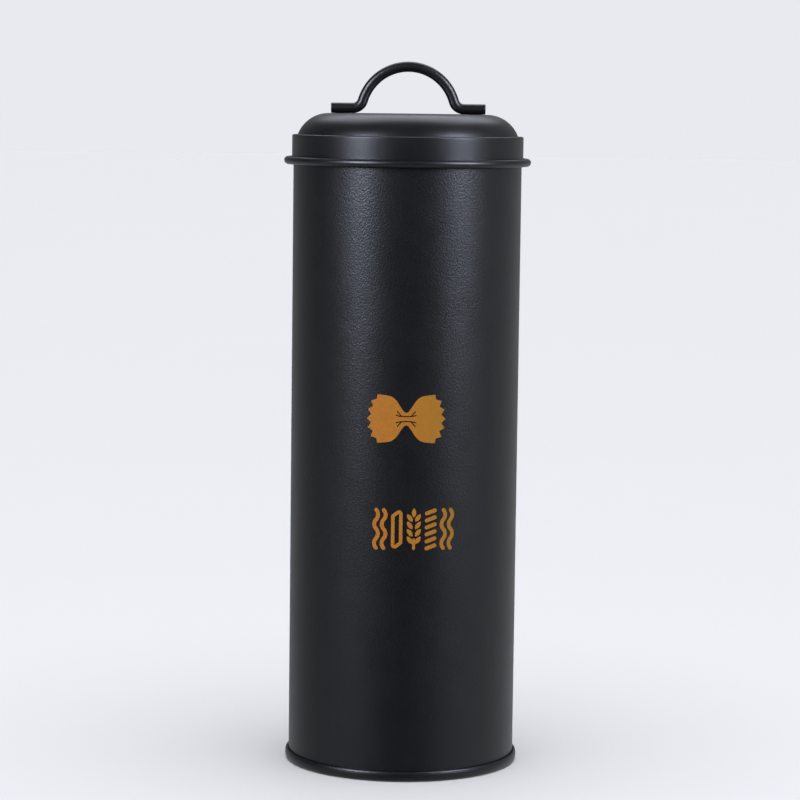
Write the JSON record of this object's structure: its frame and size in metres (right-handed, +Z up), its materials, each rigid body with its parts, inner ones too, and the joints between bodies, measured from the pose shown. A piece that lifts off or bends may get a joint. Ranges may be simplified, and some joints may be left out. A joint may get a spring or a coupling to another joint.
{
  "type": "food canister",
  "caption": "Tall round steel canister for long pasta, with a slip-on domed lid, a bent-rod arch handle and gold printed marks.",
  "frame": {"origin": "middle of the base seam's footprint, on the surface the canister stands on", "axes": "+Z up along the canister's axis; -Y is the printed front; +X is the viewer's right, and the handle runs along X"},
  "size_m": [0.1082, 0.1082, 0.3088],
  "materials": {
    "black_coat": "satin black powder coat with a fine orange-peel texture",
    "black_coat_rod": "satin black powder coat, smoother on the rod",
    "silicone": "translucent white matte silicone",
    "sealing_compound": "matte cured lining compound",
    "gold_ink": "satin gold screen-printing ink"
  },
  "bodies": {
    "canister": {"body_wall": "black_coat", "base_pan": "black_coat", "seam_compound": "sealing_compound", "bow_tie_print": "gold_ink", "pasta_marks_print": "gold_ink"},
    "seal": {"lid_seal": "silicone"},
    "lid": {"lid_cap": "black_coat", "handle_bar": "black_coat_rod", "handle_weld_left": "black_coat_rod", "handle_weld_right": "black_coat_rod"}
  },
  "joints": [
    {"name": "lid_lift", "type": "slide", "parent": "canister", "child": "seal", "axis": [0, 0, 1], "range_m": [0, 0.12]},
    {"name": "lid_turn", "type": "hinge", "parent": "seal", "child": "lid", "pos_m": [0, 0, 0.2757], "axis": [0, 0, 1], "continuous": true}
  ]
}
